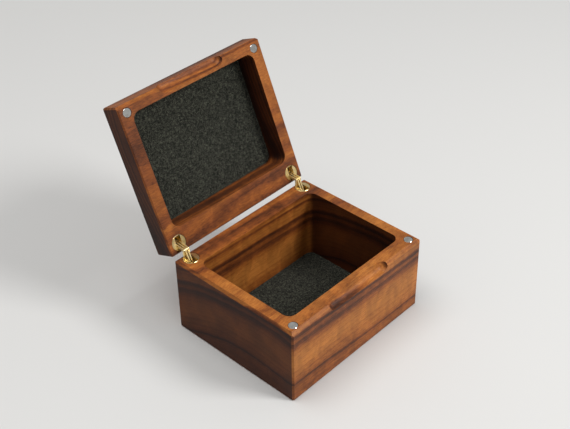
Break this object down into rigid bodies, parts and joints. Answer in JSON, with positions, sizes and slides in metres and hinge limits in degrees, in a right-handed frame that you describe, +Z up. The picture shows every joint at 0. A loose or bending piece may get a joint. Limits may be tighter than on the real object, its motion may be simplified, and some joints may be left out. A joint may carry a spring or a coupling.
{
  "type": "hinged wooden card box",
  "caption": "Solid walnut card box with a hinged magnetic lid, concealed brass barrel hinges, felt lining and finger coves.",
  "frame": {"origin": "centre of the base's flat underside", "axes": "X along the hinge line, +Y towards the hinges at the back, +Z up"},
  "size_m": [0.116, 0.1521, 0.1426],
  "materials": {
    "walnut": "oiled satin",
    "felt": "charcoal wool felt",
    "brass": "polished",
    "steel": "ground",
    "nickel": "plated"
  },
  "bodies": {
    "base": {"box_base": "walnut", "base_felt": "felt", "left_base_magnet": "nickel", "left_base_barrel": "brass", "left_base_pin": "steel", "right_base_magnet": "nickel", "right_base_barrel": "brass", "right_base_pin": "steel"},
    "lid": {"box_lid": "walnut", "lid_felt": "felt", "left_lid_magnet": "nickel", "left_lid_barrel": "brass", "left_lid_pin": "steel", "right_lid_magnet": "nickel", "right_lid_barrel": "brass", "right_lid_pin": "steel"},
    "left_outer_arm": {"left_outer_leaf_1": "brass", "left_outer_leaf_2": "brass", "left_outer_leaf_3": "brass", "left_centre_pin": "steel", "left_lid_slide_pin": "steel"},
    "left_inner_arm": {"left_inner_leaf_1": "brass", "left_inner_leaf_2": "brass", "left_base_slide_pin": "steel"},
    "right_outer_arm": {"right_outer_leaf_1": "brass", "right_outer_leaf_2": "brass", "right_outer_leaf_3": "brass", "right_centre_pin": "steel", "right_lid_slide_pin": "steel"},
    "right_inner_arm": {"right_inner_leaf_1": "brass", "right_inner_leaf_2": "brass", "right_base_slide_pin": "steel"}
  },
  "joints": [
    {"name": "lid_swing", "type": "hinge", "parent": "base", "child": "left_outer_arm", "pos_m": [-0.0498, 0.046, 0.04954], "axis": [1, 0, 0], "range_deg": [0, 67.68]},
    {"name": "left_scissor_pivot", "type": "hinge", "parent": "left_outer_arm", "child": "left_inner_arm", "pos_m": [-0.0498, 0.04652, 0.05753], "axis": [1, 0, 0], "range_deg": [-22.56, 0]},
    {"name": "left_lid_pivot", "type": "hinge", "parent": "left_inner_arm", "child": "lid", "pos_m": [-0.0498, 0.05408, 0.05491], "axis": [1, 0, 0], "range_deg": [0, 67.68]},
    {"name": "right_base_pivot", "type": "hinge", "parent": "base", "child": "right_outer_arm", "pos_m": [0.0498, 0.046, 0.04954], "axis": [1, 0, 0], "range_deg": [0, 67.68]},
    {"name": "right_scissor_pivot", "type": "hinge", "parent": "right_outer_arm", "child": "right_inner_arm", "pos_m": [0.0498, 0.04652, 0.05753], "axis": [1, 0, 0], "range_deg": [-22.56, 0]}
  ],
  "couplings": [
    {"joint": "left_scissor_pivot", "follows": "lid_swing", "ratio": -0.33333},
    {"joint": "left_lid_pivot", "follows": "lid_swing", "ratio": 1},
    {"joint": "right_base_pivot", "follows": "lid_swing", "ratio": 1},
    {"joint": "right_scissor_pivot", "follows": "lid_swing", "ratio": -0.33333}
  ]
}
